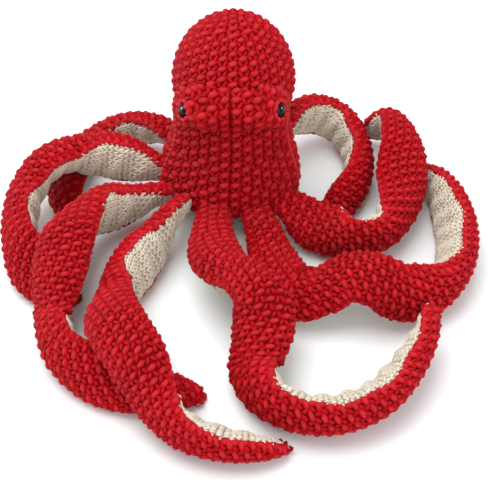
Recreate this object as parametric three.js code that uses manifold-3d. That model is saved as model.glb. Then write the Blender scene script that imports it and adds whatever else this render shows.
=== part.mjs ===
// Knitted octopus soft toy: a stuffed body with a lolling mantle, two bead eyes and eight stuffed arms.
// Millimetres, +Z up, the face looks along -Y. The origin is the middle of the flat base, on the floor.
import * as THREE from 'three';
import * as BufferGeometryUtils from 'three/addons/utils/BufferGeometryUtils.js';
import Module from 'manifold-3d';

const FABRIC = 2.6; // thickness of the knitting
const GAP = 0.3; // clearance between pieces that touch
const CUT = 200; // size of a cutting block, larger than the toy's body
const WELD = 1e-4; // points closer than this are one point

const MANTLE_CENTRE = new THREE.Vector3(0.5, 12, 66);
const MANTLE_RADIUS = 28;
const MANTLE_LENGTH = 31; // from the centre to the crown
const MANTLE_LEAN = THREE.MathUtils.degToRad(25); // the crown leans back
const MANTLE_MOUTH = THREE.MathUtils.degToRad(148); // angle from the crown to the open rim
const MANTLE_STEPS = 10; // from the crown to the end of its outline
const ALL_ROUND = THREE.MathUtils.degToRad(178); // an outline that nearly closes at the bottom
const MANTLE_CLEARANCE = 1; // around the mantle in its collar, so that its flat facets can turn
const WADDING_GAP = 0.5; // between the knitting and the wadding in the body and the mantle

// Body outline: the height, front, back and half width of each level, and how far its middle is off centre.
const BODY_LEVELS = [
  { z: 0, front: -12, back: 19, half: 20, x: -1 },
  { z: 6, front: -19, back: 26, half: 28, x: -1 },
  { z: 14, front: -25, back: 30, half: 33, x: -1.5 },
  { z: 24, front: -26, back: 30, half: 32.5, x: -1.5 },
  { z: 36, front: -23.5, back: 28, half: 29.5, x: -1 },
  { z: 47, front: -21, back: 25, half: 27, x: -0.5 },
  { z: 57, front: -20, back: 20, half: 26, x: -0.5 },
  { z: 66, front: -21, back: 12, half: 25.5, x: -0.5 },
  { z: 72, front: -21.5, back: 6, half: 24, x: -0.5 },
  { z: 76, front: -20, back: 1, half: 21.5, x: -0.5 },
  { z: 80, front: -15.5, back: -4, half: 16, x: -0.5 },
];
const BODY_SIDES = 20;
const EYE_SIDES = 12;
const HEM = 11; // the cream base comes up to here, and the red panels start here
const BROW_SIDES = 12;
const BROW_RINGS = 7;
const BROW = { x: 13, y: -14, z: 73.5, rx: 10, ry: 9, rz: 7.5 };

const EYE = { x: 19.8, y: -15.5, z: 67.5 }; // where the right eye's post comes through the knitting
const BEAD = { radius: 4, rise: 3, post: 1.3, length: 6.5, steps: 4 };
const WASHER = { radius: 4.4, thick: 1.2 };
const BEAD_OUT = 2.6; // from the knitting's middle to the flat back of the bead
const WASHER_IN = -2.4; // to the back of the washer, which squeezes the knitting from inside
const EYE_WAY = new THREE.Vector3(0.84, -0.42, 0.34).normalize(); // the right eye looks this way

const ARM_WIDTH_ROOT = 14.5;
const ARM_WIDTH = 26;
const ARM_FLATNESS = 0.72; // thickness over width
const ARM_SWELL_END = 0.22;
const ARM_TAPER_START = 0.5; // along the arm, from 0 at the root to 1 at the tip
const ARM_TIP = 0.985; // how much of the full taper the last section has, so that the tip is blunt
const CREAM_HALF_ANGLE = THREE.MathUtils.degToRad(70); // the under panel, from its middle to its edge
const ARM_STEPS = 18;
const SEAM_GAP = 0.6; // between the red and the cream panel along their edges
const CORE_INSET = 4; // from the outside of an arm to its wadding
const CORE_SIDES = 6;
const CORE_STOP = 3; // the wadding ends this many sections before the tip
const BACK_FACETS = { outer: 6, inner: 5 };
const UNDER_FACETS = { outer: 3, inner: 2 };
const RED = { color: 0xc4161f, roughness: 0.92, metalness: 0 };
const CREAM = { color: 0xddd3bc, roughness: 0.92, metalness: 0 };
const WADDING = { color: 0xf2efe8, roughness: 1, metalness: 0 };
const BLACK = { color: 0x0b0b0c, roughness: 0.12, metalness: 0 };
const CLEAR_NYLON = { color: 0xd9d9d4, roughness: 0.45, metalness: 0 };

// Each arm runs from its sewn root to its tip: x, y, the height of its underside over the floor, and
// the roll of the cream panel in degrees, 0 when it faces down and 90 when it faces left of the way out.
const ARMS = {
  arm_front_left: { width: 1, stations: [
    [-21, -19, 11, 75], [-29, -32, 10, 85], [-37, -46, 4, 105], [-45, -61, 2, 110], [-50, -78, 4, 80],
    [-51, -95, 16, 40], [-46, -111, 23, 20], [-37, -126, 20, 40], [-28, -139, 7, 90], [-16, -147, 0, 120],
    [-1, -151, 0, 132], [13, -151, 0, 135], [25, -148, 0, 135],
  ] },
  arm_left: { width: 1, stations: [
    [-25, -7, 9, 40], [-37, -14, 8, 70], [-50, -21, 6, 90], [-61, -29, 9, 85], [-69, -41, 15, 45],
    [-73, -57, 20, 15], [-75, -73, 14, 30], [-76, -88, 3, 75], [-71, -105, 0, 85], [-59, -116, 0, 60],
    [-42, -121, 0, 20], [-24, -122, 0, 0], [-10, -121, 0, 0],
  ] },
  arm_rear_left: { width: 1, stations: [
    [-24, 3, 10, 40], [-36, 3, 10, 75], [-50, 3, 12, 90], [-64, 3, 14, 80], [-77, 0, 17, 50],
    [-88, -8, 16, 50], [-95, -21, 9, 80], [-96, -38, 2, 80], [-90, -54, 0, 40], [-79, -63, 0, 10],
    [-67, -65, 0, 0],
  ] },
  arm_back_left: { width: 0.8, stations: [
    [-17, 20, 9, 20], [-29, 29, 8, 40], [-44, 35, 5, 75], [-59, 34, 3, 70], [-71, 28, 1, 35],
    [-79, 15, 0, 10], [-80, -2, 0, 20], [-77, -15, 0, 10],
  ] },
  arm_front_middle: { width: 1.04, stations: [
    [-8, -21, 12, 0], [-9, -36, 12, 0], [-8, -53, 12, -10], [-3, -69, 14, -25], [8, -80, 17, -30],
    [14, -91, 17, -15], [13, -103, 10, 15], [10, -115, 3, 50], [14, -127, 0, 90], [27, -136, 0, 120],
    [43, -137, 0, 128], [60, -130, 1, 126], [73, -116, 5, 118], [82, -100, 11, 100], [87, -84, 18, 65],
  ] },
  arm_front_right: { width: 1, stations: [
    [10, -21, 10, 0], [14, -34, 9, 0], [18, -47, 3, -5], [23, -60, 0, -5], [30, -70, 0, 0],
    [40, -72, 6, 0], [51, -71, 13, 0], [63, -73, 13, 15], [77, -74, 5, 45], [90, -69, 0, 90],
    [98, -57, 0, 114], [102, -38, 0, 118], [101, -18, 0, 114], [97, 1, 0, 100], [91, 18, 0, 85],
  ] },
  arm_right: { width: 1, stations: [
    [20, -13, 10, 0], [29, -21, 9, 5], [38, -29, 4, 30], [48, -35, 0, 85], [59, -36, 0, 115],
    [69, -31, 0, 108], [76, -20, 4, 65], [79, -5, 9, 30], [80, 13, 12, 45], [75, 33, 9, 75],
    [63, 42, 3, 70],
  ] },
  arm_back_right: { width: 0.88, stations: [
    [17, 19, 10, -30], [27, 32, 11, -65], [40, 41, 8, -85], [52, 38, 4, -95], [59, 21, 0, -95],
    [57, 1, 0, -85], [49, -11, 0, -55], [39, -14, 0, -30],
  ] },
};

const wasm = await Module();
wasm.setup();

// The same faces with positions only and with shared points merged.
function welded(geometry) {
  const bare = new THREE.BufferGeometry();
  bare.setAttribute('position', geometry.getAttribute('position'));
  bare.setIndex(geometry.getIndex());
  return BufferGeometryUtils.mergeVertices(bare, WELD);
}

function toSolid(geometry) {
  const merged = welded(geometry);
  const vertProperties = new Float32Array(merged.getAttribute('position').array);
  const triVerts = new Uint32Array(merged.getIndex().array);
  return new wasm.Manifold(new wasm.Mesh({ numProp: 3, vertProperties, triVerts }));
}

function toGeometry(solid) {
  const { vertProperties, triVerts } = solid.getMesh();
  const geometry = new THREE.BufferGeometry();
  geometry.setAttribute('position', new THREE.BufferAttribute(vertProperties, 3));
  geometry.setIndex(new THREE.BufferAttribute(triVerts, 1));
  return geometry;
}

// A closed skin through rings of points that all have the same count, with flat fans on both ends.
function loft(rings) {
  const sides = rings[0].length;
  const points = [];
  const faces = [];
  for (const ring of rings) ring.forEach((p) => points.push(p.x, p.y, p.z));
  for (let i = 0; i + 1 < rings.length; i += 1) {
    for (let j = 0; j < sides; j += 1) {
      const a = i * sides + j;
      const b = i * sides + ((j + 1) % sides);
      faces.push(a, b, a + sides, b, b + sides, a + sides);
    }
  }
  const outline = rings[0].map((p) => flatPoint(rings[0], p));
  for (const [a, b, c] of THREE.ShapeUtils.triangulateShape(outline, [])) {
    const end = (rings.length - 1) * sides;
    faces.push(a, c, b, end + a, end + b, end + c);
  }
  const geometry = new THREE.BufferGeometry();
  geometry.setAttribute('position', new THREE.Float32BufferAttribute(points, 3));
  geometry.setIndex(faces);
  return signedVolume(geometry) < 0 ? flipped(geometry) : geometry;
}

// Where a point of a nearly flat ring lies in the ring's own plane.
function flatPoint(ring, point) {
  const middle = ring.reduce((sum, p) => sum.add(p), new THREE.Vector3()).divideScalar(ring.length);
  const u = ring[0].clone().sub(middle).normalize();
  const third = ring[Math.floor(ring.length / 3)].clone().sub(middle);
  const normal = u.clone().cross(third).normalize();
  const v = normal.cross(u);
  const reach = point.clone().sub(middle);
  return new THREE.Vector2(reach.dot(u), reach.dot(v));
}

function signedVolume(geometry) {
  const position = geometry.getAttribute('position');
  const index = geometry.getIndex();
  const [a, b, c] = [new THREE.Vector3(), new THREE.Vector3(), new THREE.Vector3()];
  let volume = 0;
  for (let i = 0; i < index.count; i += 3) {
    a.fromBufferAttribute(position, index.getX(i));
    b.fromBufferAttribute(position, index.getX(i + 1));
    c.fromBufferAttribute(position, index.getX(i + 2));
    volume += a.dot(b.cross(c)) / 6;
  }
  return volume;
}

function flipped(geometry) {
  const index = geometry.getIndex();
  for (let i = 0; i < index.count; i += 3) {
    const second = index.getX(i + 1);
    index.setX(i + 1, index.getX(i + 2));
    index.setX(i + 2, second);
  }
  return geometry;
}

const group = new THREE.Group();

function add(name, geometry, finish) {
  const mesh = new THREE.Mesh(geometry, new THREE.MeshStandardMaterial(finish));
  mesh.name = name;
  group.add(mesh);
}

// ---- Mantle: an egg with a round lower half, so that it can loll in the collar of the body. ----

function mantleProfile(inset, end) {
  const points = [];
  for (let i = 0; i <= MANTLE_STEPS; i += 1) {
    const angle = (end * i) / MANTLE_STEPS;
    const length = (angle < Math.PI / 2 ? MANTLE_LENGTH : MANTLE_RADIUS) - inset;
    const radius = MANTLE_RADIUS - inset;
    points.push(new THREE.Vector2(radius * Math.sin(angle), length * Math.cos(angle)));
  }
  points[0].x = 0;
  return points;
}

function leanBack(geometry) {
  geometry.rotateX(Math.PI / 2); // the lathe's axis, +Y, becomes +Z
  geometry.rotateX(MANTLE_LEAN * -1);
  return geometry.translate(...MANTLE_CENTRE);
}

function lathe(points, sides) {
  const geometry = welded(new THREE.LatheGeometry(points, sides));
  return signedVolume(geometry) < 0 ? flipped(geometry) : geometry;
}

function closedEgg(inset, end) {
  const rim = mantleProfile(inset, end);
  const bottom = new THREE.Vector2(0, rim[rim.length - 1].y);
  return toSolid(leanBack(lathe([...rim, bottom], BODY_SIDES)));
}

const mantleShell = [...mantleProfile(0, MANTLE_MOUTH), ...mantleProfile(FABRIC, MANTLE_MOUTH).reverse()];
add('mantle_shell', leanBack(lathe(mantleShell, BODY_SIDES)), RED);
const mantleWadding = closedEgg(FABRIC + WADDING_GAP, MANTLE_MOUTH);
add('mantle_stuffing', toGeometry(mantleWadding), WADDING);

// ---- Body: two face panels with a seam down the middle, a back panel, a cream base and wadding. ----

function bodyRing(level, inset) {
  const ring = [];
  const middle = (level.front + level.back) / 2;
  const depth = (level.back - level.front) / 2 - inset;
  for (let i = 0; i < BODY_SIDES; i += 1) {
    const angle = (2 * Math.PI * i) / BODY_SIDES;
    const x = level.x + (level.half - inset) * Math.cos(angle);
    ring.push(new THREE.Vector3(x, middle + depth * Math.sin(angle), level.z));
  }
  return ring;
}

function bodySolid(inset) {
  const rings = BODY_LEVELS.map((level) => bodyRing(level, inset));
  rings[rings.length - 1].forEach((p) => { p.z -= inset; });
  rings[0].forEach((p) => { p.z += inset; });
  let solid = toSolid(loft(rings));
  for (const side of [-1, 1]) {
    const mound = new THREE.SphereGeometry(1, BROW_SIDES, BROW_RINGS);
    mound.scale(BROW.rx - inset, BROW.ry - inset, BROW.rz - inset);
    mound.translate(side * BROW.x, BROW.y, BROW.z);
    solid = solid.add(toSolid(mound));
  }
  return solid;
}

function block(width, depth, height, x, y, z) {
  return toSolid(new THREE.BoxGeometry(width, depth, height).translate(x, y, z));
}

function aimed(geometry, side, distance) {
  const way = new THREE.Vector3(side * EYE_WAY.x, EYE_WAY.y, EYE_WAY.z);
  const turn = new THREE.Quaternion().setFromUnitVectors(new THREE.Vector3(0, 1, 0), way);
  const place = new THREE.Vector3(side * EYE.x, EYE.y, EYE.z).addScaledVector(way, distance);
  return geometry.applyQuaternion(turn).translate(...place);
}

function disc(radius, thick) {
  return new THREE.CylinderGeometry(radius, radius, thick, EYE_SIDES);
}

const WASHER_TOP = WASHER_IN + WASHER.thick + GAP;
const mantleRoom = closedEgg(-MANTLE_CLEARANCE, ALL_ROUND);
const bodyOuter = bodySolid(0);
const bodyInner = bodySolid(FABRIC);
let bodyShell = bodyOuter.subtract(bodyInner).subtract(mantleRoom);
let bodyWadding = bodySolid(FABRIC + WADDING_GAP).subtract(mantleRoom);
for (const side of [-1, 1]) {
  const hole = aimed(disc(BEAD.post + GAP, 4 * BEAD.length), side, 0);
  const room = aimed(disc(WASHER.radius + GAP, 2 * BEAD.length), side, WASHER_TOP - BEAD.length);
  const dimple = aimed(disc(BEAD.radius + GAP, BEAD.length), side, BEAD_OUT - GAP + BEAD.length / 2);
  bodyShell = bodyShell.subtract(toSolid(hole)).subtract(toSolid(room)).subtract(toSolid(dimple));
  bodyWadding = bodyWadding.subtract(toSolid(room));
}

const SIDE_SEAM_Y = -6; // the face panels meet the back panel here
const front = block(CUT, CUT, CUT, 0, SIDE_SEAM_Y - (GAP + CUT) / 2, 0);
const back = block(CUT, CUT, CUT, 0, SIDE_SEAM_Y + (GAP + CUT) / 2, 0);
const above = block(CUT, CUT, CUT, 0, 0, HEM + (GAP + CUT) / 2);
const below = block(CUT, CUT, CUT, 0, 0, HEM - (GAP + CUT) / 2);
const skirt = bodyShell.intersect(above);
for (const [name, side] of [['face_panel_left', -1], ['face_panel_right', 1]]) {
  const half = block(CUT, CUT, CUT, (side * (CUT + GAP)) / 2, 0, 0);
  add(name, toGeometry(skirt.intersect(front).intersect(half)), RED);
}
add('back_panel', toGeometry(skirt.intersect(back)), RED);
add('base_panel', toGeometry(bodyShell.intersect(below)), CREAM);
add('body_stuffing', toGeometry(bodyWadding), WADDING);

// ---- Safety eyes: a black bead with a post through the knitting, and a washer pushed on behind. ----

function beadProfile() {
  const points = [new THREE.Vector2(0, -BEAD.length), new THREE.Vector2(BEAD.post, -BEAD.length)];
  points.push(new THREE.Vector2(BEAD.post, 0));
  for (let i = 0; i <= BEAD.steps; i += 1) {
    const angle = (Math.PI / 2) * (i / BEAD.steps);
    points.push(new THREE.Vector2(BEAD.radius * Math.cos(angle), BEAD.rise * Math.sin(angle)));
  }
  points[points.length - 1].x = 0;
  return points;
}

const washer = [
  new THREE.Vector2(BEAD.post + GAP / 2, 0), new THREE.Vector2(WASHER.radius, 0),
  new THREE.Vector2(WASHER.radius, WASHER.thick), new THREE.Vector2(BEAD.post + GAP / 2, WASHER.thick),
];
washer.push(washer[0].clone());
for (const [name, side] of [['left', -1], ['right', 1]]) {
  add(`eye_bead_${name}`, aimed(lathe(beadProfile(), EYE_SIDES), side, BEAD_OUT), BLACK);
  add(`eye_washer_${name}`, aimed(lathe(washer, EYE_SIDES), side, WASHER_IN), CLEAR_NYLON);
}

// ---- Arms: a red back panel and a cream under panel sewn along both edges, over a roll of wadding. ----

function armWidth(u) {
  const swell = THREE.MathUtils.smoothstep(u, 0, ARM_SWELL_END);
  const taper = (ARM_TIP * Math.max(u - ARM_TAPER_START, 0)) / (1 - ARM_TAPER_START);
  return THREE.MathUtils.lerp(ARM_WIDTH_ROOT, ARM_WIDTH, swell) * (1 - taper ** 3) ** 0.6;
}

// Sections of one arm. Each holds its middle, its half width and half thickness and their directions.
function armSections({ width, stations }) {
  const path = new THREE.CatmullRomCurve3(stations.map(([x, y]) => new THREE.Vector3(x, y, 0)));
  const rise = new THREE.CatmullRomCurve3(stations.map(([x, y, z]) => new THREE.Vector3(x, y, z)));
  const roll = new THREE.SplineCurve(stations.map((s, i) => new THREE.Vector2(i, s[3])));
  const sections = [];
  for (let i = 0; i <= ARM_STEPS; i += 1) {
    const u = i / ARM_STEPS;
    const t = path.getUtoTmapping(u);
    const tangent = rise.getTangent(t);
    const side = new THREE.Vector3(0, 0, 1).cross(tangent).normalize();
    const up = tangent.clone().cross(side);
    const angle = THREE.MathUtils.degToRad(roll.getPoint(t).y);
    const halfWidth = (width * armWidth(u)) / 2;
    const halfThick = halfWidth * ARM_FLATNESS;
    const cream = up.clone().multiplyScalar(-Math.cos(angle)).addScaledVector(side, Math.sin(angle));
    const across = side.clone().multiplyScalar(Math.cos(angle)).addScaledVector(up, Math.sin(angle));
    const middle = rise.getPoint(t);
    middle.z = Math.max(middle.z, 0);
    middle.z += Math.hypot(halfWidth * across.z, halfThick * cream.z);
    sections.push({ middle, halfWidth, halfThick, cream, across });
  }
  return sections;
}

function sectionPoint(section, angle, inset) {
  const point = section.middle.clone();
  point.addScaledVector(section.cream, (section.halfThick - inset) * Math.cos(angle));
  return point.addScaledVector(section.across, (section.halfWidth - inset) * Math.sin(angle));
}

// The outline of a strip of knitting between two angles, outside first and then back along the inside.
// With a margin it is the room that the strip needs, which is cut from the pieces beside it.
function strip(section, from, to, { outer, inner }, margin) {
  const thick = Math.min(FABRIC, section.halfThick * 0.5);
  const spread = margin / section.halfWidth;
  const ring = [];
  for (let i = 0; i <= outer; i += 1) {
    const angle = THREE.MathUtils.lerp(from - spread, to + spread, i / outer);
    ring.push(sectionPoint(section, angle, -margin));
  }
  for (let i = inner; i >= 0; i -= 1) {
    const angle = THREE.MathUtils.lerp(from - spread, to + spread, i / inner);
    ring.push(sectionPoint(section, angle, thick + margin));
  }
  return ring;
}

function core(section) {
  const ring = [];
  const inset = Math.min(CORE_INSET, section.halfThick * 0.8);
  for (let i = 0; i < CORE_SIDES; i += 1) {
    ring.push(sectionPoint(section, (2 * Math.PI * i) / CORE_SIDES, inset));
  }
  return ring;
}

function backPanel(sections, margin) {
  return toSolid(loft(sections.map((section) => {
    const slack = SEAM_GAP / section.halfWidth;
    const from = CREAM_HALF_ANGLE + slack;
    return strip(section, from, 2 * Math.PI - from, BACK_FACETS, margin);
  })));
}

function underPanel(sections, margin) {
  const edge = CREAM_HALF_ANGLE;
  return toSolid(loft(sections.map((section) => strip(section, -edge, edge, UNDER_FACETS, margin))));
}

const rootRoom = bodySolid(-GAP);
for (const [name, arm] of Object.entries(ARMS)) {
  const sections = armSections(arm);
  const backRoom = backPanel(sections, GAP);
  const filling = toSolid(loft(sections.slice(0, -CORE_STOP).map(core)));
  const wadding = filling.subtract(backRoom).subtract(underPanel(sections, GAP)).subtract(rootRoom);
  add(`${name}_back`, toGeometry(backPanel(sections, 0).subtract(rootRoom)), RED);
  add(`${name}_under`, toGeometry(underPanel(sections, 0).subtract(backRoom).subtract(rootRoom)), CREAM);
  add(`${name}_stuffing`, toGeometry(wadding), WADDING);
}

export default group;
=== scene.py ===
# A hand-knitted octopus soft toy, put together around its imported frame: mantle, body, arms and eyes.
import math

import bpy
import numpy as np
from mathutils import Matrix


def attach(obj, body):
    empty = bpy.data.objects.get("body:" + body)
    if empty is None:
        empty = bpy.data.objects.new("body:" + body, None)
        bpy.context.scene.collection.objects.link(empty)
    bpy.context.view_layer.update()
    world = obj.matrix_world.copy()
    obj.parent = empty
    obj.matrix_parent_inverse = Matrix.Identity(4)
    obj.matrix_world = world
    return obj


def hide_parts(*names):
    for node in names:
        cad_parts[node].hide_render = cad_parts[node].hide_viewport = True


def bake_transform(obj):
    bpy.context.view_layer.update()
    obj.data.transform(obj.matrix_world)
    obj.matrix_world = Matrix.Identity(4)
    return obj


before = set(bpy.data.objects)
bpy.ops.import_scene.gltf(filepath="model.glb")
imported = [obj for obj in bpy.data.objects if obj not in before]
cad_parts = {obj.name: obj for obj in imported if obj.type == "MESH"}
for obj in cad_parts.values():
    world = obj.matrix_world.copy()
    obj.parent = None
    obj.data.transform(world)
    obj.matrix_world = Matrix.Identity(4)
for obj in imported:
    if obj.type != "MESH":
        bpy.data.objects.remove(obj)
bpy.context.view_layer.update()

# ---- The floor, the light and the camera ----
# The toy sits on a pale seamless floor. One broad soft light comes from above on the left, a weaker one
# fills from the front on the right, and the camera looks down on the face.
FLOOR_SIZE = 6.0
CAMERA_DISTANCE = 0.7
CAMERA_ELEVATION = math.radians(46)
CAMERA_LENS = 108.4
LOOK_AT = (0.008, -0.033, 0.0)
SKY_STRENGTH = 0.68


def plain_finish(name, colour, roughness):
    """A new node material, with its shader, ready for more nodes."""
    finish = bpy.data.materials.new(name)
    finish.use_nodes = True
    shader = finish.node_tree.nodes["Principled BSDF"]
    shader.inputs["Base Color"].default_value = (*colour, 1)
    shader.inputs["Roughness"].default_value = roughness
    return finish, finish.node_tree, shader


def put(thing, name, place=(0, 0, 0), turn=(0, 0, 0)):
    """A new object in the scene that holds this mesh, light or camera."""
    held = bpy.data.objects.new(name, thing)
    held.location = place
    held.rotation_euler = turn
    bpy.context.scene.collection.objects.link(held)
    return held


floor_mesh = bpy.data.meshes.new("floor")
floor_corners = [(x * FLOOR_SIZE / 2, y * FLOOR_SIZE / 2, 0) for x, y in ((-1, -1), (1, -1), (1, 1), (-1, 1))]
floor_mesh.from_pydata(floor_corners, [], [(0, 1, 2, 3)])
floor_finish, _, _ = plain_finish("pale_floor", (0.88, 0.93, 0.94), 0.7)
floor_mesh.materials.append(floor_finish)
put(floor_mesh, "floor")


def soft_light(name, place, size, power):
    """A square panel of light that faces the middle of the toy."""
    lamp = bpy.data.lights.new(name, "AREA")
    lamp.size = size
    lamp.energy = power
    panel = put(lamp, name, place)
    aim = bpy.data.objects["floor"].location - panel.location
    panel.rotation_euler = aim.to_track_quat("-Z", "Y").to_euler()
    return panel


soft_light("light_above_left", (-0.28, 0.05, 1.2), 1.0, 14.6)
soft_light("light_front_right", (0.5, -1.0, 0.6), 1.2, 6.2)
# These two only make the highlights in the glossy eyes.
soft_light("glint_left", (-0.92, 0.06, 0.34), 0.46, 16.0).visible_diffuse = False
soft_light("glint_right", (0.92, 0.06, 0.34), 0.26, 5.0).visible_diffuse = False

world = bpy.data.worlds.new("studio")
world.use_nodes = True
sky = world.node_tree.nodes["Background"]
sky.inputs["Color"].default_value = (1, 1, 1, 1)
sky.inputs["Strength"].default_value = SKY_STRENGTH
bpy.context.scene.world = world
bpy.context.scene.view_settings.view_transform = "Standard"

camera_data = bpy.data.cameras.new("camera")
camera_data.lens = CAMERA_LENS
camera_place = (
    LOOK_AT[0],
    LOOK_AT[1] - CAMERA_DISTANCE * math.cos(CAMERA_ELEVATION),
    CAMERA_DISTANCE * math.sin(CAMERA_ELEVATION),
)
camera = put(camera_data, "camera", camera_place, (math.pi / 2 - CAMERA_ELEVATION, 0, 0))
bpy.context.scene.camera = camera

# ---- The mantle ----
# The dome behind the eyes is knitted in the round in moss stitch from a thick red yarn. It starts with a
# small ring at the crown, widens to the full count of stitches, and is stuffed and sewn into the body.
MANTLE_CENTRE = np.array([0.0005, 0.012, 0.066])
MANTLE_RADIUS = 0.028
MANTLE_LENGTH = 0.031
MANTLE_LEAN = math.radians(25)
MANTLE_MOUTH = math.radians(146)
CROWN_RING = 0.11  # the angle from the crown to the first row of stitches
CROWDED = 0.66  # the count of a row is halved where its stitches would be narrower than this share
MANTLE_STITCH = (0.0051, 0.0046)  # across, and along from one bump to the next in the same column
YARN_SEED = np.random.default_rng(11)
UNEVEN = 0.07  # how far stitches wander, in radians of turn and twice as a share of their size
GRAIN_BLUNTNESS = 0.42
PURL_GRAIN = (8, 4)  # the sides and rings of one bump's mesh
KNIT_INSET = 0.0016  # from the outside of the frame to the ground between the bumps
KNIT_THICK = 0.0011
FLOOR_CLEARANCE = 0.0001


def unit(vectors):
    """The same vectors, each one long."""
    return vectors / np.maximum(np.linalg.norm(vectors, axis=-1, keepdims=True), 1e-12)


def grain(sides, rings):
    """The points and faces of one short piece of yarn along X, from -1 to 1, with tapered ends."""
    points = [(-1.0, 0.0, 0.0)]
    for ring in range(rings):
        along = -math.cos(math.pi * (ring + 1) / (rings + 1))
        radius = (1 - along**2) ** GRAIN_BLUNTNESS
        for side in range(sides):
            angle = 2 * math.pi * side / sides
            points.append((along, radius * math.cos(angle), radius * math.sin(angle)))
    points.append((1.0, 0.0, 0.0))
    last = len(points) - 1
    faces = []
    for side in range(sides):
        after = (side + 1) % sides
        faces.append((0, 1 + after, 1 + side))
        faces.append((last, last - sides + side, last - sides + after))
        for ring in range(rings - 1):
            a, b = 1 + ring * sides + side, 1 + ring * sides + after
            faces += [(a, b, b + sides), (a, b + sides, a + sides)]
    return np.array(points), np.array(faces)


def frames_on(surface, along, across):
    """Places on a surface, with the directions across the columns, along them and straight out of it."""
    step = 1e-3
    place = surface(along, across)
    over = unit(surface(along, across + step) - surface(along, across - step))
    up = unit(surface(along + step, across) - surface(along - step, across))
    out = unit(np.cross(over, up))
    up = np.cross(out, over)
    return place, over, up, out


def stitches(spots, size, tilt, arch, sink, kind=PURL_GRAIN):
    """Yarn grains at these spots.

    Size is length, width and height, tilt turns them, arch bends their ends in and sink lowers them."""
    place, over, up, out = spots
    shape, faces = grain(*kind)
    count = len(place)
    turn = tilt + YARN_SEED.normal(0, UNEVEN, count)
    cos, sin = np.cos(turn)[:, None], np.sin(turn)[:, None]
    lengthways = over * cos + up * sin
    sideways = up * cos - over * sin
    grow = 1 + YARN_SEED.normal(0, UNEVEN / 2, (count, 3))
    grow = grow[:, None, :] * np.asarray(size).reshape(-1, 1, 3) / 2
    local = shape[None] * grow
    local[:, :, 2] -= arch * shape[None, :, 0] ** 2 + sink
    points = place[:, None] + local[:, :, :1] * lengthways[:, None]
    points = points + local[:, :, 1:2] * sideways[:, None] + local[:, :, 2:] * out[:, None]
    tint = np.repeat(YARN_SEED.random(count), len(shape))
    # The height within each grain later paints shade on its low parts and a highlight on its top.
    strand = local.reshape(-1, 3) * 1000
    faces = (faces[None] + (np.arange(count) * len(shape))[:, None, None]).reshape(-1, 3)
    return points.reshape(-1, 3), faces, strand, tint


def ground(surface, along, across, inset, thick):
    """The knitting between the bumps: a closed skin of even thickness over a grid of a surface."""
    rows, columns = len(along), along.shape[1]
    place, _, _, out = frames_on(surface, along, across)
    outer = (place - out * inset).reshape(-1, 3)
    inner = (place - out * (inset + thick)).reshape(-1, 3)
    grid = np.arange(rows * columns).reshape(rows, columns)
    a, b, c, d = grid[:-1, :-1], grid[:-1, 1:], grid[1:, 1:], grid[1:, :-1]
    top = np.stack([a, b, c, a, c, d], -1).reshape(-1, 3)
    under = top[:, ::-1] + rows * columns
    border = np.concatenate([grid[0], grid[1:, -1], grid[-1, -2::-1], grid[-2:0:-1, 0]])
    after = np.roll(border, -1)
    lower = rows * columns
    rim = np.stack([border, border + lower, after + lower, border, after + lower, after], -1).reshape(-1, 3)
    faces = np.concatenate([top, under, rim])
    points = np.concatenate([outer, inner])
    strand = np.zeros((len(points), 3))
    # A strand height of -3 gives the ground the yarn's darkest colour, a painted shade between the bumps.
    strand[:, 2] = -3
    return points, faces, strand, np.full(len(points), 0.5)


def piece(name, parts, finish):
    """One smooth mesh object from parts that are each points, faces, strand coordinates and tint."""
    starts = np.cumsum([0] + [len(p[0]) for p in parts[:-1]])
    points = np.concatenate([p[0] for p in parts])
    points[:, 2] = np.maximum(points[:, 2], FLOOR_CLEARANCE)
    faces = np.concatenate([p[1] + start for p, start in zip(parts, starts)])
    mesh = bpy.data.meshes.new(name)
    mesh.vertices.add(len(points))
    mesh.vertices.foreach_set("co", points.astype(np.float32).ravel())
    mesh.loops.add(faces.size)
    mesh.loops.foreach_set("vertex_index", faces.astype(np.int32).ravel())
    mesh.polygons.add(len(faces))
    mesh.polygons.foreach_set("loop_start", np.arange(0, faces.size, 3, dtype=np.int32))
    mesh.polygons.foreach_set("use_smooth", np.full(len(faces), True))
    strand = mesh.attributes.new("strand", "FLOAT_VECTOR", "POINT")
    strand.data.foreach_set("vector", np.concatenate([p[2] for p in parts]).astype(np.float32).ravel())
    tint = mesh.attributes.new("tint", "FLOAT", "POINT")
    tint.data.foreach_set("value", np.concatenate([p[3] for p in parts]).astype(np.float32))
    mesh.update(calc_edges=True)
    mesh.validate()
    mesh.materials.append(finish)
    return put(mesh, name)


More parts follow.
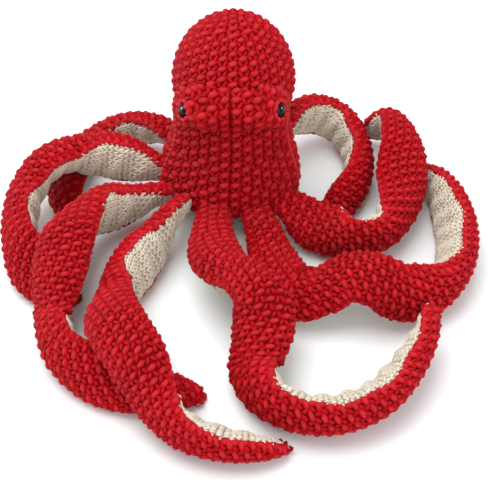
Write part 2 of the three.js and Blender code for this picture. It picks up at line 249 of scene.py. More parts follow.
def yarn(name, painted_shade, middle, light, sheen, twist):
    """Spun wool, with painted shade between the stitches and a painted highlight on their tops; uneven in its
    dye, twisted in plies and a little hairy.
    """
    finish, tree, shader = plain_finish(name, middle, 0.78)
    nodes, join = tree.nodes, tree.links.new
    shader.inputs["Specular IOR Level"].default_value = 0.12
    shader.inputs["Sheen Weight"].default_value = sheen
    shader.inputs["Sheen Roughness"].default_value = 0.45
    shader.inputs["Sheen Tint"].default_value = (*light, 1)
    strand = nodes.new("ShaderNodeAttribute")
    strand.attribute_name = "strand"
    tint = nodes.new("ShaderNodeAttribute")
    tint.attribute_name = "tint"
    place = nodes.new("ShaderNodeTexCoord")
    split = nodes.new("ShaderNodeSeparateXYZ")
    join(strand.outputs["Vector"], split.inputs[0])
    # The strand's height sets the colour: painted shade low between the stitches, then the middle colour,
    # then a painted highlight on the tops.
    depth = nodes.new("ShaderNodeMapRange")
    depth.inputs["From Min"].default_value = -2.2
    depth.inputs["From Max"].default_value = 1.2
    join(split.outputs["Z"], depth.inputs["Value"])
    ramp = nodes.new("ShaderNodeValToRGB")
    ramp.color_ramp.elements[0].color = (*painted_shade, 1)
    ramp.color_ramp.elements[1].color = (*light, 1)
    ramp.color_ramp.elements.new(0.55).color = (*middle, 1)
    join(depth.outputs[0], ramp.inputs[0])
    cloud = nodes.new("ShaderNodeTexNoise")
    cloud.inputs["Scale"].default_value = 60
    cloud.inputs["Detail"].default_value = 3
    join(place.outputs["Object"], cloud.inputs["Vector"])
    both = nodes.new("ShaderNodeMath")
    both.operation = "ADD"
    join(cloud.outputs["Fac"], both.inputs[0])
    join(tint.outputs["Fac"], both.inputs[1])
    level = nodes.new("ShaderNodeMapRange")
    level.inputs["From Min"].default_value = 0.2
    level.inputs["From Max"].default_value = 1.8
    level.inputs["To Min"].default_value = 0.84
    level.inputs["To Max"].default_value = 1.16
    join(both.outputs[0], level.inputs["Value"])
    shade = nodes.new("ShaderNodeVectorMath")
    shade.operation = "SCALE"
    join(ramp.outputs["Color"], shade.inputs[0])
    join(level.outputs[0], shade.inputs["Scale"])
    join(shade.outputs[0], shader.inputs["Base Color"])
    slant = nodes.new("ShaderNodeMapping")
    slant.inputs["Rotation"].default_value = (0, 0, math.radians(38))
    join(strand.outputs["Vector"], slant.inputs["Vector"])
    plies = nodes.new("ShaderNodeTexWave")
    plies.inputs["Scale"].default_value = twist
    plies.inputs["Distortion"].default_value = 1.2
    plies.inputs["Detail"].default_value = 1
    join(slant.outputs[0], plies.inputs["Vector"])
    hairs = nodes.new("ShaderNodeTexNoise")
    hairs.inputs["Scale"].default_value = 1500
    hairs.inputs["Detail"].default_value = 4
    join(place.outputs["Object"], hairs.inputs["Vector"])
    ply_bump = nodes.new("ShaderNodeBump")
    ply_bump.inputs["Strength"].default_value = 0.5
    ply_bump.inputs["Distance"].default_value = 0.0005
    join(plies.outputs["Fac"], ply_bump.inputs["Height"])
    hair_bump = nodes.new("ShaderNodeBump")
    hair_bump.inputs["Strength"].default_value = 0.45
    hair_bump.inputs["Distance"].default_value = 0.0003
    join(hairs.outputs["Fac"], hair_bump.inputs["Height"])
    join(ply_bump.outputs[0], hair_bump.inputs["Normal"])
    join(hair_bump.outputs[0], shader.inputs["Normal"])
    return finish


# The first colour is painted shade between the stitches, the last a painted highlight on their tops.
red_yarn = yarn("red_yarn", (0.25, 0.0, 0.001), (0.44, 0.001, 0.006), (0.57, 0.034, 0.046), 0.12, 0.55)


def lean_back(points):
    """From the mantle's own upright axis to its place on the body."""
    cos, sin = math.cos(MANTLE_LEAN), math.sin(MANTLE_LEAN)
    x, y, z = points[..., 0], points[..., 1], points[..., 2]
    return np.stack([x, y * cos + z * sin, z * cos - y * sin], -1) + MANTLE_CENTRE


def mantle_surface(rise, round_):
    """Points of the egg. Rise is the angle from the end opposite the crown, and round_ is about its axis."""
    fall = math.pi - rise
    length = np.where(fall < math.pi / 2, MANTLE_LENGTH, MANTLE_RADIUS)
    flat = MANTLE_RADIUS * np.sin(fall)
    return lean_back(np.stack([flat * np.sin(round_), -flat * np.cos(round_), length * np.cos(fall)], -1))


def mantle_spots():
    """Rows of bumps around the egg. The count halves twice towards the crown, where the knitting began."""
    across, along = MANTLE_STITCH
    full = round(math.pi * MANTLE_RADIUS / across)
    falls, rounds, widths = [], [], []
    row = 0
    fall = CROWN_RING
    while fall < MANTLE_MOUTH:
        count = full
        while count > 5 and math.pi * MANTLE_RADIUS * math.sin(fall) / count < across * CROWDED:
            count //= 2
        spots = 2 * math.pi * (np.arange(count) + 0.5 * (row % 2)) / count
        falls.append(np.full(count, fall))
        rounds.append(spots)
        widths.append(np.full(count, math.pi * MANTLE_RADIUS * math.sin(fall) / count))
        fall += along / 2 / MANTLE_LENGTH
        row += 1
    return np.concatenate(falls), np.concatenate(rounds), np.concatenate(widths)


PURL_SHARES = (1.12, 0.62)  # its length by the width of a column, and its width by the pitch of the rows
PURL_HEIGHT = 0.0031
PURL_SLOPE = 0.38
PURL_ARCH = 0.0010
PURL_SINK = 0.0009


def purls(spots, across, along):
    """The bumps of purl stitches: short arched bars that slope up to the right."""
    each = np.ones(len(spots[0]))
    length, width = across * PURL_SHARES[0], along * PURL_SHARES[1]
    sizes = np.stack([length * each, width * each, PURL_HEIGHT * each], -1)
    return stitches(spots, sizes, PURL_SLOPE, PURL_ARCH, PURL_SINK)


PLAIN_GRAIN = (5, 3)
PLAIN_SHARES = (0.92, 0.42)  # the length of a leg by the pitch of the rows, and its width by that of a column
PLAIN_HEIGHT = 0.0024
PLAIN_ARCH = 0.0003
PLAIN_SINK = 0.0013
LEG_SPREAD = 0.25  # from the middle of a knit stitch to each of its legs, by the width of a column
LEG_LEAN = 0.5


def plains(spots, across, along):
    """The knit stitches between the bumps: two short legs in a V, lower than the bumps."""
    each = np.ones(len(spots[0]))
    length, width = along * PLAIN_SHARES[0], across * PLAIN_SHARES[1]
    sizes = np.stack([length * each, width * each, PLAIN_HEIGHT * each], -1)
    legs = []
    for lean in (-1, 1):
        place = spots[0] + spots[1] * (lean * across * LEG_SPREAD * each)[:, None]
        tilt = math.pi / 2 - lean * LEG_LEAN
        legs.append(stitches((place, *spots[1:]), sizes, tilt, PLAIN_ARCH, PLAIN_SINK, PLAIN_GRAIN))
    return legs


fall, round_, widths = mantle_spots()
rises = np.linspace(math.pi - MANTLE_MOUTH, math.pi - 0.02, 40)
grid = np.meshgrid(rises, np.linspace(0, 2 * math.pi, 61), indexing="ij")
mantle_parts = [
    ground(mantle_surface, *grid, KNIT_INSET, KNIT_THICK),
    purls(frames_on(mantle_surface, math.pi - fall, round_), widths, MANTLE_STITCH[1]),
]
between = round_ + widths / (MANTLE_RADIUS * np.sin(fall))
mantle_parts += plains(frames_on(mantle_surface, math.pi - fall, between), widths, MANTLE_STITCH[1])
mantle = piece("mantle_knitting", mantle_parts, red_yarn)
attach(mantle, "mantle")
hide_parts("mantle_shell")

# ---- The body ----
# A short bag under the mantle: two red face panels with a seam down the middle, a back panel and a cream
# base. The top edge of the face is folded and padded into a brow over each eye.
BODY_LEVELS = np.array([  # height, front, back, half width and middle
    (0, -12, 19, 20, -1),
    (6, -19, 26, 28, -1),
    (14, -25, 30, 33, -1.5),
    (24, -26, 30, 32.5, -1.5),
    (36, -23.5, 28, 29.5, -1),
    (47, -21, 25, 27, -0.5),
    (57, -20, 20, 26, -0.5),
    (66, -21, 12, 25.5, -0.5),
    (72, -21.5, 6, 24, -0.5),
    (76, -20, 1, 21.5, -0.5),
    (80, -15.5, -4, 16, -0.5),
    (79.5, -9, -7, 9, -0.5),
]) / 1000
BODY_STITCH = (0.0051, 0.0053)
HEM = 0.011
SIDE_SEAM_Y = -0.006
BROWS = np.array([(-0.0125, -0.0210, 0.0715), (0.0125, -0.0210, 0.0715)])
BROW_SWELL = 0.0058
BROW_SPREAD = (0.0080, 0.0100, 0.0090)
FOLD = np.array([(-0.012, -0.0215, 0.0595), (0.012, -0.0215, 0.0595)])
FOLD_DEPTH = 0.0032
FOLD_SPREAD = (0.0082, 0.0080, 0.0036)
SEAM_GROOVE = (0.0006, 0.0016)  # its depth and half its width
HALF_RING = 160  # points around half the body, to measure along
RISING_LEVELS = 120  # of twice as many levels, the ones where the face only goes up


def smooth_levels(count):
    """The body's levels along a smooth profile, evenly spaced down the middle of the face."""
    reach = np.concatenate([[0], np.cumsum(np.hypot(np.diff(BODY_LEVELS[:, 0]), np.diff(BODY_LEVELS[:, 1])))])
    wanted = np.linspace(0, reach[-1], count)
    slopes = np.gradient(BODY_LEVELS, reach, axis=0)
    found = np.clip(np.searchsorted(reach, wanted, side="right") - 1, 0, len(reach) - 2)
    span = (reach[found + 1] - reach[found])[:, None]
    t = (wanted - reach[found])[:, None] / span
    above = found + 1
    curve = (2 * t**3 - 3 * t**2 + 1) * BODY_LEVELS[found] + (t**3 - 2 * t**2 + t) * (slopes[found] * span)
    curve = curve + (3 * t**2 - 2 * t**3) * BODY_LEVELS[above] + (t**3 - t**2) * (slopes[above] * span)
    return wanted, curve


LEVEL_REACH, LEVEL_CURVE = smooth_levels(2 * RISING_LEVELS)


def near(points, centre, spread):
    """1 at a centre, falling smoothly to 0 away from it."""
    return np.exp(-(((points - centre) / spread) ** 2).sum(-1))


def body_surface(reach, round_):
    """Points of the body. Reach is the way up the middle of the face, and round_ the angle from there."""
    z, front, back, half_width, middle = (np.interp(reach, LEVEL_REACH, LEVEL_CURVE[:, k]) for k in range(5))
    depth = (back - front) / 2
    flat = np.stack([np.sin(round_), -np.cos(round_)], -1)
    points = np.stack([middle + half_width * flat[..., 0], (front + back) / 2 + depth * flat[..., 1], z], -1)
    out = np.stack([flat[..., 0], flat[..., 1], np.zeros_like(z)], -1)
    swell = sum(near(points, centre, BROW_SPREAD) for centre in BROWS) * BROW_SWELL
    swell = swell - sum(near(points, centre, FOLD_SPREAD) for centre in FOLD) * FOLD_DEPTH
    seam = np.exp(-(((points[..., 0] - middle) / SEAM_GROOVE[1]) ** 2)) * (flat[..., 1] < 0)
    swell = swell - seam * SEAM_GROOVE[0]
    return points + out * swell[..., None]


def in_mantle(points, inset):
    """Whether points are inside the mantle by at least this much."""
    return np.linalg.norm(points - MANTLE_CENTRE, axis=-1) < MANTLE_RADIUS - inset


def body_columns(low, high, front, parity):
    """Stitches of the face, counted out from its middle seam, or of the back, counted from the back's middle.

    Parity 0 gives the purl stitches and 1 the plain ones between them."""
    across, along = BODY_STITCH
    spots = []
    angles = np.linspace(0, math.pi, HALF_RING)
    for row, reach in enumerate(np.arange(low, high, along / 2)):
        ring = body_surface(np.full(HALF_RING, reach), angles)
        lengths = np.concatenate([[0], np.cumsum(np.linalg.norm(np.diff(ring, axis=0), axis=1))])
        seam = np.interp(SIDE_SEAM_Y, ring[:, 1], lengths)
        span = seam if front else lengths[-1] - seam
        count = round(span / across)
        for column in range(count):
            place = span / count * (column + 0.5 if front else column)
            if (row + column) % 2 == parity:
                angle = np.interp(place if front else lengths[-1] - place, lengths, angles)
                spots += [(reach, angle), (reach, -angle)] if column or front else [(reach, angle)]
    return np.array(spots).T


def clear(spots, hidden):
    """Spots without the ones that are hidden."""
    return tuple(part[~hidden] for part in spots)


# ---- The arms ----
# Each arm is a long red moss-stitch strip and a narrower cream strip, sewn together along both edges,
# stuffed, and sewn to the body by its open end. It tapers over its outer half to a closed tip.
ARM_WIDTH_ROOT = 0.0145
ARM_WIDTH = 0.026
ARM_FLATNESS = 0.72
ARM_SWELL_END = 0.22
ARM_TAPER_START = 0.5
CREAM_HALF_ANGLE = math.radians(70)
ARM_STITCH = (0.0047, 0.0043)
EDGE_PITCH = 0.0033
EDGE_ROOM = 0.0003  # from the seam to the edge stitches
EDGE_STITCH = (0.0048, 0.0031, 0.0028)
EDGE_SLANT = 0.2
EDGE_SINK = 0.0011
EDGE_LEAST = 0.003  # half the width of the arm below which its edges have no stitches of their own
RED_MARGIN = 0.0017  # from the seam to the nearest column of red stitches
CREAM_MARGIN = 0.0021
CREAM_STITCH = (0.0031, 0.0025)
CREAM_GRAIN = (5, 2)
CREAM_LEG = (CREAM_STITCH[1] * 1.45, 0.00145, 0.0014)
CREAM_LEAN = 0.42
CREAM_SINK = 0.0008
CREAM_INSET = 0.0011
CREAM_HOLLOW = 0.24  # how far the cream side is pulled in, as a share of half the thickness
HOLLOW_POWER = 1.5
EDGE_WAVE = 0.07  # the wander of the seam between red and cream, as a share of half the width
EDGE_LENGTH = 0.024
EDGE_START = 900  # sets each arm's seam off at its own point of the wave
FOLD_LENGTH = 0.0115
FOLD_HEIGHT = 0.0007
FOLD_BOW = 1.3
FOLD_FULL = 0.009  # half the thickness at which the folds of the cream side reach their full height
ARM_WADDING_GAP = 0.0036  # from the outside of the knitting to the wadding
SECTIONS = 320
RED_STEPS = 25  # around the red ground of an arm
CREAM_STEPS = 15
EDGE_GAP = 0.02  # between the red and the cream ground, in radians
ARMS = {  # width, then x, y and the height of the underside in millimetres, and the roll of the cream side
    "front_left": (1, [
        (-21, -19, 11, 75), (-29, -32, 10, 85), (-37, -46, 4, 105), (-45, -61, 2, 110), (-50, -78, 4, 80),
        (-51, -95, 16, 40), (-46, -111, 23, 20), (-37, -126, 20, 40), (-28, -139, 7, 90), (-16, -147, 0, 120),
        (-1, -151, 0, 132), (13, -151, 0, 135), (25, -148, 0, 135),
    ]),
    "left": (1, [
        (-25, -7, 9, 40), (-37, -14, 8, 70), (-50, -21, 6, 90), (-61, -29, 9, 85), (-69, -41, 15, 45),
        (-73, -57, 20, 15), (-75, -73, 14, 30), (-76, -88, 3, 75), (-71, -105, 0, 85), (-59, -116, 0, 60),
        (-42, -121, 0, 20), (-24, -122, 0, 0), (-10, -121, 0, 0),
    ]),
    "rear_left": (1, [
        (-24, 3, 10, 40), (-36, 3, 10, 75), (-50, 3, 12, 90), (-64, 3, 14, 80), (-77, 0, 17, 50),
        (-88, -8, 16, 50), (-95, -21, 9, 80), (-96, -38, 2, 80), (-90, -54, 0, 40), (-79, -63, 0, 10),
        (-67, -65, 0, 0),
    ]),
    "back_left": (0.8, [
        (-17, 20, 9, 20), (-29, 29, 8, 40), (-44, 35, 5, 75), (-59, 34, 3, 70), (-71, 28, 1, 35),
        (-79, 15, 0, 10), (-80, -2, 0, 20), (-77, -15, 0, 10),
    ]),
    "front_middle": (1.04, [
        (-8, -21, 12, 0), (-9, -36, 12, 0), (-8, -53, 12, -10), (-3, -69, 14, -25), (8, -80, 17, -30),
        (14, -91, 17, -15), (13, -103, 10, 15), (10, -115, 3, 50), (14, -127, 0, 90), (27, -136, 0, 120),
        (43, -137, 0, 128), (60, -130, 1, 126), (73, -116, 5, 118), (82, -100, 11, 100), (87, -84, 18, 65),
    ]),
    "front_right": (1, [
        (10, -21, 10, 0), (14, -34, 9, 0), (18, -47, 3, -5), (23, -60, 0, -5), (30, -70, 0, 0),
        (40, -72, 6, 0), (51, -71, 13, 0), (63, -73, 13, 15), (77, -74, 5, 45), (90, -69, 0, 90),
        (98, -57, 0, 114), (102, -38, 0, 118), (101, -18, 0, 114), (97, 1, 0, 100), (91, 18, 0, 85),
    ]),
    "right": (1, [
        (20, -13, 10, 0), (29, -21, 9, 5), (38, -29, 4, 30), (48, -35, 0, 85), (59, -36, 0, 115),
        (69, -31, 0, 108), (76, -20, 4, 65), (79, -5, 9, 30), (80, 13, 12, 45), (75, 33, 9, 75),
        (63, 42, 3, 70),
    ]),
    "back_right": (0.88, [
        (17, 19, 10, -30), (27, 32, 11, -65), (40, 41, 8, -85), (52, 38, 4, -95), (59, 21, 0, -95),
        (57, 1, 0, -85), (49, -11, 0, -55), (39, -14, 0, -30),
    ]),
}


def through(points, t, even=False):
    """A smooth curve through points, at parameters from 0 to 1. It allows for uneven gaps, or not if even."""
    points = np.asarray(points, float)
    points = np.concatenate([[2 * points[0] - points[1]], points, [2 * points[-1] - points[-2]]])
    spot = np.clip(t, 0, 1) * (len(points) - 3)
    first = np.minimum(spot.astype(int), len(points) - 4)
    weight = (spot - first)[:, None]
    p = [points[first + k] for k in range(4)]
    if even:
        a, b, c = np.ones((3, len(t), 1))
    else:
        lengths = (np.linalg.norm(p[k + 1] - p[k], axis=1, keepdims=True) for k in range(3))
        a, b, c = (np.maximum(length, 1e-9) ** 0.5 for length in lengths)
    start = ((p[1] - p[0]) / a - (p[2] - p[0]) / (a + b) + (p[2] - p[1]) / b) * b
    stop = ((p[2] - p[1]) / b - (p[3] - p[1]) / (b + c) + (p[3] - p[2]) / c) * b
    square, cube = weight**2, weight**3
    curve = p[1] * (2 * cube - 3 * square + 1) + p[2] * (3 * square - 2 * cube)
    return curve + start * (cube - 2 * square + weight) + stop * (cube - square)


def arm_table(width, stations):
    """Sections along an arm, one to a row.

    Their columns are the middle (3), half the width, half the thickness, the way that the cream side
    faces (3), the way across (3) and the distance along."""
    stations = np.array(stations, float)
    stations[:, :3] /= 1000
    fine = np.linspace(0, 1, 2001)
    flat = through(stations[:, :2], fine)
    length = np.concatenate([[0], np.cumsum(np.linalg.norm(np.diff(flat, axis=0), axis=1))])
    share = np.linspace(0, 1, SECTIONS)
    t = np.interp(share * length[-1], length, fine)
    middle = through(stations[:, :3], t)
    tangent = unit(through(stations[:, :3], t + 1e-4) - through(stations[:, :3], t - 1e-4))
    tangent[-1] = tangent[-2]
    tangent[0] = tangent[1]
    side = unit(np.cross([0, 0, 1], tangent))
    up = np.cross(tangent, side)
    roll = np.radians(through(stations[:, 3:], t, even=True))
    ease = np.clip(share / ARM_SWELL_END, 0, 1)
    ease = ease * ease * (3 - 2 * ease)
    taper = np.clip(share - ARM_TAPER_START, 0, 1) / (1 - ARM_TAPER_START)
    half_width = width / 2 * (ARM_WIDTH_ROOT + (ARM_WIDTH - ARM_WIDTH_ROOT) * ease) * (1 - taper**4) ** 0.5
    half_thick = half_width * ARM_FLATNESS
    cream = -up * np.cos(roll) + side * np.sin(roll)
    across = side * np.cos(roll) + up * np.sin(roll)
    middle[:, 2] = np.maximum(middle[:, 2], 0) + np.hypot(half_width * across[:, 2], half_thick * cream[:, 2])
    reach = np.concatenate([[0], np.cumsum(np.linalg.norm(np.diff(middle, axis=0), axis=1))])
    return np.column_stack([middle, half_width, half_thick, cream, across, reach])


def arm_surface(table):
    """The surface of an arm, from the share of its length and the angle from the middle of its cream side."""

    def surface(share, angle):
        row = [np.interp(share, SECTION_SHARES, column) for column in table.T]
        middle, cream, across = (np.stack(row[k : k + 3], -1) for k in (0, 5, 8))
        hollow = np.clip(np.cos(angle), 0, 1) ** HOLLOW_POWER
        folds = np.sin(2 * math.pi * row[11] / FOLD_LENGTH + FOLD_BOW * np.sin(2 * angle)) * FOLD_HEIGHT
        folds = folds * np.clip(row[4] / FOLD_FULL, 0, 1)
        thick = row[4] * np.cos(angle) - hollow * (row[4] * CREAM_HOLLOW + folds)
        return middle + cream * thick[..., None] + across * (row[3] * np.sin(angle))[..., None]

    return surface


def oval_lookup():
    """Distance along an oval of half width 1, for angles from the middle of its cream side to half a turn."""
    angles = np.linspace(0, math.pi, 400)
    oval = np.stack([np.sin(angles), ARM_FLATNESS * np.cos(angles)], -1)
    return angles, np.concatenate([[0], np.cumsum(np.linalg.norm(np.diff(oval, axis=0), axis=1))])


OVAL_ANGLES, OVAL_LENGTHS = oval_lookup()
HALF_OVAL = OVAL_LENGTHS[-1]
CREAM_SPAN = np.interp(CREAM_HALF_ANGLE, OVAL_ANGLES, OVAL_LENGTHS)
SECTION_SHARES = np.linspace(0, 1, SECTIONS)


def row_shares(table, pitch):
    """Shares of an arm's length that are a pitch apart along it, from just past its root to its tip."""
    reach = table[:, 11]
    return np.interp(np.arange(pitch, reach[-1] - pitch * 0.3, pitch), reach, SECTION_SHARES)


def cream_span(table, share):
    """Distance from the cream side's middle to the seam, in half widths, where the seam wanders a little."""
    reach = np.interp(share, SECTION_SHARES, table[:, 11])
    return CREAM_SPAN + EDGE_WAVE * np.sin(2 * math.pi * reach / EDGE_LENGTH + table[0, 0] * EDGE_START)


def arm_columns(table, stitch, red, parity):
    """Stitches across the red or the cream strip of an arm, in columns counted from its middle line.

    Red is moss stitch, where parity 0 gives the purl stitches and 1 the plain ones. Cream is all plain."""
    across, along = stitch
    shares = row_shares(table, along / 2 if red else along)
    half_widths = np.interp(shares, SECTION_SHARES, table[:, 3])
    spans = cream_span(table, shares)
    found = []
    for row, (share, half_width, span) in enumerate(zip(shares, half_widths, spans)):
        reach = half_width * (HALF_OVAL - span) - RED_MARGIN if red else half_width * span - CREAM_MARGIN
        reach = max(0, reach)
        count = round(reach / across)
        pitch = reach / max(count, 1)
        if not red and reach < across:
            continue
        for column in range(count + 1):
            if not red or (row + column) % 2 == parity:
                length = column * pitch / half_width
                step = np.interp(HALF_OVAL - length if red else length, OVAL_LENGTHS, OVAL_ANGLES)
                width = np.clip(pitch, across * 0.7, across * 1.2)
                found += [(share, step, width), (share, -step, width)] if column else [(share, step, width)]
    return np.array(found).T


def arm_edges(table, pitch, room):
    """Places along both edges of an arm's red strip, this far in from the seam."""
    shares = row_shares(table, pitch)
    half_widths = np.interp(shares, SECTION_SHARES, table[:, 3])
    shares, half_widths = shares[half_widths > EDGE_LEAST], half_widths[half_widths > EDGE_LEAST]
    steps = np.interp(cream_span(table, shares) + room / half_widths, OVAL_LENGTHS, OVAL_ANGLES)
    return np.stack([np.tile(shares, 2), np.concatenate([steps, -steps])])


def in_body(points, inset):
    """Whether points are inside the body by at least this much."""
    heights, *level = BODY_LEVELS[:-1].T  # up to the brim, where the height is greatest
    front, back, half_width, middle = (np.interp(points[:, 2], heights, values) for values in level)
    aside = (points[:, 0] - middle) / (half_width - inset)
    ahead = (points[:, 1] - (front + back) / 2) / ((back - front) / 2 - inset)
    return np.hypot(aside, ahead) < 1


def in_arms(points, inset):
    """Whether points are inside any arm by at least this much."""
    inside = np.zeros(len(points), bool)
    for table in ARM_TABLES.values():
        gap = points[:, None] - table[None, ::4, :3]
        row = table[::4][np.argmin((gap**2).sum(-1), axis=1)]
        gap = points - row[:, :3]
        along = np.cross(row[:, 5:8], row[:, 8:11])
        norm = ((gap * row[:, 5:8]).sum(-1) / (row[:, 4] - inset)) ** 2
        norm += ((gap * row[:, 8:11]).sum(-1) / (row[:, 3] - inset)) ** 2
        inside |= (norm < 1) & (np.abs((gap * along).sum(-1)) < 0.002) & (row[:, 3] > 2 * inset)
    return inside


ARM_TABLES = {name: arm_table(width, stations) for name, (width, stations) in ARMS.items()}
# The cream's first colour is painted shade between its stitches, its last a painted highlight on their tops.
cream_yarn = yarn("cream_yarn", (0.44, 0.35, 0.25), (0.78, 0.70, 0.57), (0.93, 0.88, 0.77), 0.2, 0.9)
wadding_finish = yarn("wadding_fibre", (0.7, 0.68, 0.64), (0.85, 0.83, 0.8), (0.9, 0.9, 0.88), 0.3, 0.2)


def plug(name, rings, finish):
    """A closed solid from rings of points, with a point at the middle of each end."""
    rows, around = rings.shape[:2]
    points = np.concatenate([rings.reshape(-1, 3), rings[:1].mean(1), rings[-1:].mean(1)])
    grid = np.arange(rows * around).reshape(rows, around)
    after = np.roll(grid, -1, axis=1)
    a, b, c, d = grid[:-1], after[:-1], after[1:], grid[1:]
    faces = np.stack([a, b, c, a, c, d], -1).reshape(-1, 3)
    first = np.stack([after[0], grid[0], np.full(around, rows * around)], -1)
    last = np.stack([grid[-1], after[-1], np.full(around, rows * around + 1)], -1)
    faces = np.concatenate([faces, first, last])
    return piece(name, [(points, faces, points * 1000, np.full(len(points), 0.5))], finish)


def lumpy(points, middles, shrink):
    """Points drawn in towards their middles, unevenly, as wadding packs under a knitted skin."""
    waves = np.sin(points[..., 0] * 700 + 1) * np.sin(points[..., 1] * 620 + 2) * np.sin(points[..., 2] * 810)
    gap = points - middles
    length = np.maximum(np.linalg.norm(gap, axis=-1, keepdims=True), 1e-6)
    return middles + gap * np.clip((length - shrink + waves[..., None] * 0.0005) / length, 0.3, 1)


def outside_body(spots, widths):
    """The spots and widths of the stitches that aren't inside the body."""
    return clear((*spots, widths), in_body(spots[0], 0.002))


for name, table in ARM_TABLES.items():
    surface = arm_surface(table)
    limb = "arm_" + name
    *places, purl_widths = arm_columns(table, ARM_STITCH, True, 0)
    *purl_spots, purl_widths = outside_body(frames_on(surface, *places), purl_widths)
    *places, plain_widths = arm_columns(table, ARM_STITCH, True, 1)
    *plain_spots, plain_widths = outside_body(frames_on(surface, *places), plain_widths)
    edge_places = arm_edges(table, EDGE_PITCH, EDGE_ROOM)
    *edge_spots, _ = outside_body(frames_on(surface, *edge_places), edge_places[0])
    edge_sizes = np.tile(EDGE_STITCH, (len(edge_spots[0]), 1))
    shares = np.concatenate([np.linspace(0, 0.96, 92), np.linspace(0.965, 0.998, 12)])  # closer near the tip
    half_thick = np.interp(shares, SECTION_SHARES, table[:, 4])[:, None, None]
    skin = np.minimum(KNIT_THICK, half_thick * 0.3)
    edge_angles = np.interp(cream_span(table, shares), OVAL_LENGTHS, OVAL_ANGLES)[:, None]
    across = np.linspace(0, 1, RED_STEPS)[None]
    around = (edge_angles + EDGE_GAP) * (1 - across) + (2 * math.pi - edge_angles - EDGE_GAP) * across
    inset = np.minimum(KNIT_INSET, half_thick * 0.4)
    back_parts = [
        ground(surface, np.repeat(shares[:, None], RED_STEPS, axis=1), around, inset, skin),
        purls(purl_spots, purl_widths, ARM_STITCH[1]),
        *plains(plain_spots, plain_widths, ARM_STITCH[1]),
        stitches(edge_spots, edge_sizes, math.pi / 2 + EDGE_SLANT, PLAIN_ARCH, EDGE_SINK),
    ]
    back = piece(limb + "_back_knitting", back_parts, red_yarn)
    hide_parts(limb + "_back")

    *places, widths = arm_columns(table, CREAM_STITCH, False, 0)
    *spots, _ = outside_body(frames_on(surface, *places), widths)
    legs = []
    for lean in (-1, 1):
        place = spots[0] + spots[1] * (lean * CREAM_STITCH[0] * LEG_SPREAD)
        sizes = np.tile(CREAM_LEG, (len(place), 1))
        tilt = math.pi / 2 - lean * CREAM_LEAN
        legs.append(stitches((place, *spots[1:]), sizes, tilt, PLAIN_ARCH, CREAM_SINK, CREAM_GRAIN))
    around = edge_angles * np.linspace(-0.98, 0.98, CREAM_STEPS)[None]
    inset = np.minimum(CREAM_INSET, half_thick * 0.25)
    cream_ground = ground(surface, np.repeat(shares[:, None], CREAM_STEPS, axis=1), around, inset, skin)
    under = piece(limb + "_under_knitting", [cream_ground, *legs], cream_yarn)
    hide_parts(limb + "_under")

    shares = np.linspace(0.004, 0.97, 90)
    grid = np.meshgrid(shares, np.linspace(0, 2 * math.pi, 20, endpoint=False), indexing="ij")
    rings = surface(*grid)
    filling = lumpy(rings, rings.mean(1, keepdims=True), ARM_WADDING_GAP)
    wadding = plug(limb + "_wadding", filling, wadding_finish)
    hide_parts(limb + "_stuffing")

    root = table[0, :3]
    way = unit(unit(table[20, :3] - root) + unit(table[:, :3].mean(0) - root))
    for part in (back, under, wadding):
        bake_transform(part)

# ---- The panels of the body ----
# The face and back are knitted flat in moss stitch and sewn together up the middle of the face and at both
# sides. The cream base is gathered under them, and wadding fills the bag.
PANEL_STEPS = 40  # across the ground of a panel
PANEL_LEVELS = 70
HEM_GAP = 0.001  # from the hem to the first row of stitches
RIDGE_PITCH = 0.0031
RIDGE_STITCH = (0.0043, 0.0026, 0.0032)  # of the raised seams down both sides
RIDGE_SLANT = 0.35
RIDGE_END = 0.012  # below the brim
RIDGE_ARCH = 0.0004
RIDGE_SINK = 0.0004
BASE_MIDDLE = np.array([-0.001, 0.0035, 0.0])
BASE_REACH = 0.016
BASE_COLUMNS = 52
BODY_WADDING_GAP = 0.0042
BODY_WADDING_HEIGHTS = (0.0035, 0.0745)

hem_reach = np.interp(HEM, LEVEL_CURVE[:RISING_LEVELS, 0], LEVEL_REACH[:RISING_LEVELS])
top_reach = LEVEL_REACH[-1]


def seam_angles(reach_values):
    """The angle of the side seam at each height."""
    angles = np.linspace(0, math.pi, HALF_RING)
    rings = body_surface(*np.meshgrid(reach_values, angles, indexing="ij"))
    return np.array([np.interp(SIDE_SEAM_Y, ring[:, 1], angles) for ring in rings])


def showing(spots):
    """The stitches of the body that aren't under the mantle or an arm's root."""
    return clear(spots, in_mantle(spots[0], 0.001) | in_arms(spots[0], 0.002))


def belongs(made, body, slot, fill, *nodes):
    """This piece rides on a body and stands for these nodes of the frame. Its slot is not used."""
    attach(made, body)
    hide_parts(*nodes)


def panel(name, node, reaches, from_angles, to_angles, purl_places, plain_places, more):
    """One knitted panel of the body, between two angles at each height, with any more parts sewn to it."""
    share = np.linspace(0, 1, PANEL_STEPS)[None]
    around = from_angles[:, None] * (1 - share) + to_angles[:, None] * share
    levels = np.repeat(reaches[:, None], PANEL_STEPS, axis=1)
    parts = [
        ground(body_surface, levels, around, KNIT_INSET, KNIT_THICK),
        purls(showing(frames_on(body_surface, *purl_places)), *BODY_STITCH),
        *plains(showing(frames_on(body_surface, *plain_places)), *BODY_STITCH),
        *more,
    ]
    belongs(piece(name, parts, red_yarn), "body", "red_knit", 0.8, node)


reaches = np.linspace(hem_reach, top_reach, PANEL_LEVELS)
sides = seam_angles(reaches)
middle_seam = np.zeros(PANEL_LEVELS)
purl_places, plain_places = (body_columns(hem_reach + HEM_GAP, top_reach, True, k) for k in (0, 1))
for name, way in (("right", 1), ("left", -1)):
    chosen = [places[:, places[1] * way > 0] for places in (purl_places, plain_places)]
    span = (middle_seam, sides) if way > 0 else (-sides, -middle_seam)
    panel(f"face_knitting_{name}", f"face_panel_{name}", reaches, *span, *chosen, [])

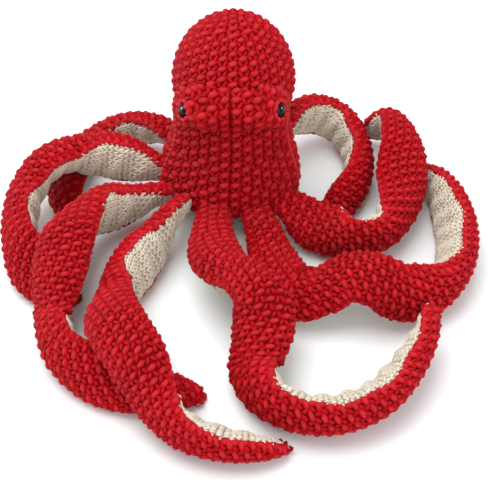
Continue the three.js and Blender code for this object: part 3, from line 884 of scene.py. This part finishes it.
ridge = np.arange(hem_reach, top_reach - RIDGE_END, RIDGE_PITCH)
ridge_angles = seam_angles(ridge)
ridge_places = np.tile(ridge, 2), np.concatenate([ridge_angles, -ridge_angles])
ridge_spots = showing(frames_on(body_surface, *ridge_places))
ridge_sizes = np.tile(RIDGE_STITCH, (len(ridge_spots[0]), 1))
ridge_part = stitches(ridge_spots, ridge_sizes, math.pi / 2 - RIDGE_SLANT, RIDGE_ARCH, RIDGE_SINK)
chosen = [body_columns(hem_reach + HEM_GAP, top_reach, False, k) for k in (0, 1)]
panel("back_knitting", "back_panel", reaches, sides, 2 * math.pi - sides, *chosen, [ridge_part])


def base_surface(rise, round_):
    """Points of the base. Rise is the distance up from its lower edge, and less than 0 towards its middle."""
    ring = body_surface(np.maximum(rise, 0), round_)
    share = np.clip(1 + np.minimum(rise, 0) / BASE_REACH, 0.02, 1)[..., None]
    return BASE_MIDDLE + (ring - BASE_MIDDLE) * share


rises = np.linspace(-0.0155, hem_reach + 0.0008, 30)
grid = np.meshgrid(rises, np.linspace(0, 2 * math.pi, 61), indexing="ij")
base_rows = np.arange(0.0015, hem_reach, CREAM_STITCH[1])
base_places = [(rise, 2 * math.pi * k / BASE_COLUMNS) for rise in base_rows for k in range(BASE_COLUMNS)]
base_spots = frames_on(base_surface, *np.array(base_places).T)
base_spots = clear(base_spots, in_arms(base_spots[0], 0.001))
base_parts = [ground(base_surface, *grid, CREAM_INSET, KNIT_THICK), *plains(base_spots, *CREAM_STITCH)]
belongs(piece("base_knitting", base_parts, cream_yarn), "body", "cream_knit", 0.7, "base_panel")

circle = np.linspace(0, 2 * math.pi, 40, endpoint=False)
rings = body_surface(*np.meshgrid(np.linspace(0.0, top_reach - 0.001, 60), circle, indexing="ij"))
body_fill = lumpy(rings, rings.mean(1, keepdims=True), BODY_WADDING_GAP)
body_fill[..., 2] = np.clip(body_fill[..., 2], *BODY_WADDING_HEIGHTS)
belongs(plug("body_wadding", body_fill, wadding_finish), "body", "wadding", 0.8, "body_stuffing")
rings = mantle_surface(*np.meshgrid(np.linspace(0.7, math.pi - 0.05, 40), circle, indexing="ij"))
mantle_fill = plug("mantle_wadding", lumpy(rings, MANTLE_CENTRE, BODY_WADDING_GAP), wadding_finish)
belongs(mantle_fill, "mantle", "wadding", 0.8, "mantle_stuffing")

# ---- The eyes ----
# Two glossy black moulded beads, each pushed through the knitting and held by a nylon washer inside. The
# stitches close in round them like eyelids.
EYE = np.array([0.0206, -0.0160, 0.0708])  # the right one
EYE_WAY = unit(np.array([0.80, -0.48, 0.36]))
BEAD_RADIUS = 0.0034
BEAD_RISE = 0.0026
WASHER_RADIUS = 0.0031
WASHER_DEPTH = 0.0048
WASHER_THICK = 0.001
WASHER_HOLE = 0.0013
POST_RADIUS = 0.0012
POST_END = -0.0055
LID_RING = (0.0042, 0.0012)  # the radius of the ring of stitches and its height above the middle of the bead
LID_STITCH = (0.0040, 0.0021, 0.0026)
LID_COUNT = 9

glossy_black, tree, shader = plain_finish("glossy_black", (0.003, 0.002, 0.002), 0.05)
shader.inputs["Specular IOR Level"].default_value = 0.2
washer_nylon, tree, shader = plain_finish("washer_nylon", (0.75, 0.75, 0.73), 0.35)


def circle_about(way, count):
    """Directions square to this way, evenly all round it."""
    over = unit(np.cross(way, [0.0, 0.0, 1.0]))
    up = np.cross(way, over)
    angles = np.linspace(0, 2 * math.pi, count, endpoint=False)[:, None]
    return over * np.cos(angles) + up * np.sin(angles)


def turned(name, place, way, profile, finish):
    """A round solid turned about an axis that points this way, from (radius, height) pairs up its profile."""
    circle = circle_about(way, 32)
    rings = np.array([place + circle * radius + way * height for radius, height in profile])
    return plug(name, rings, finish)


for name, side in (("left", -1), ("right", 1)):
    mirror = np.array([side, 1, 1])
    place, way = EYE * mirror, EYE_WAY * mirror
    swing = np.linspace(-0.5, math.pi / 2 - 0.03, 14)
    profile = [(POST_RADIUS, POST_END), (POST_RADIUS, -0.0018)]
    profile += [(BEAD_RADIUS * math.cos(a), BEAD_RISE * math.sin(a)) for a in swing]
    bead = turned(f"bead_{name}", place, way, profile, glossy_black)
    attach(bead, "body")
    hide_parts(f"eye_bead_{name}")
    low, high = -WASHER_DEPTH, WASHER_THICK - WASHER_DEPTH
    profile = [(WASHER_HOLE, low), (WASHER_RADIUS, low), (WASHER_RADIUS, high), (WASHER_HOLE, high)]
    washer = turned(f"washer_{name}", place, way, profile, washer_nylon)
    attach(washer, "body")
    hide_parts(f"eye_washer_{name}")
    circle = circle_about(way, LID_COUNT)
    lid_place = place + circle * LID_RING[0] + way * LID_RING[1]
    spots = (lid_place, np.cross(way, circle), circle, np.repeat(way[None], LID_COUNT, axis=0))
    lid = piece(f"eyelid_{name}", [stitches(spots, LID_STITCH, 0.2, PLAIN_ARCH, 0.0004)], red_yarn)
    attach(lid, "body")
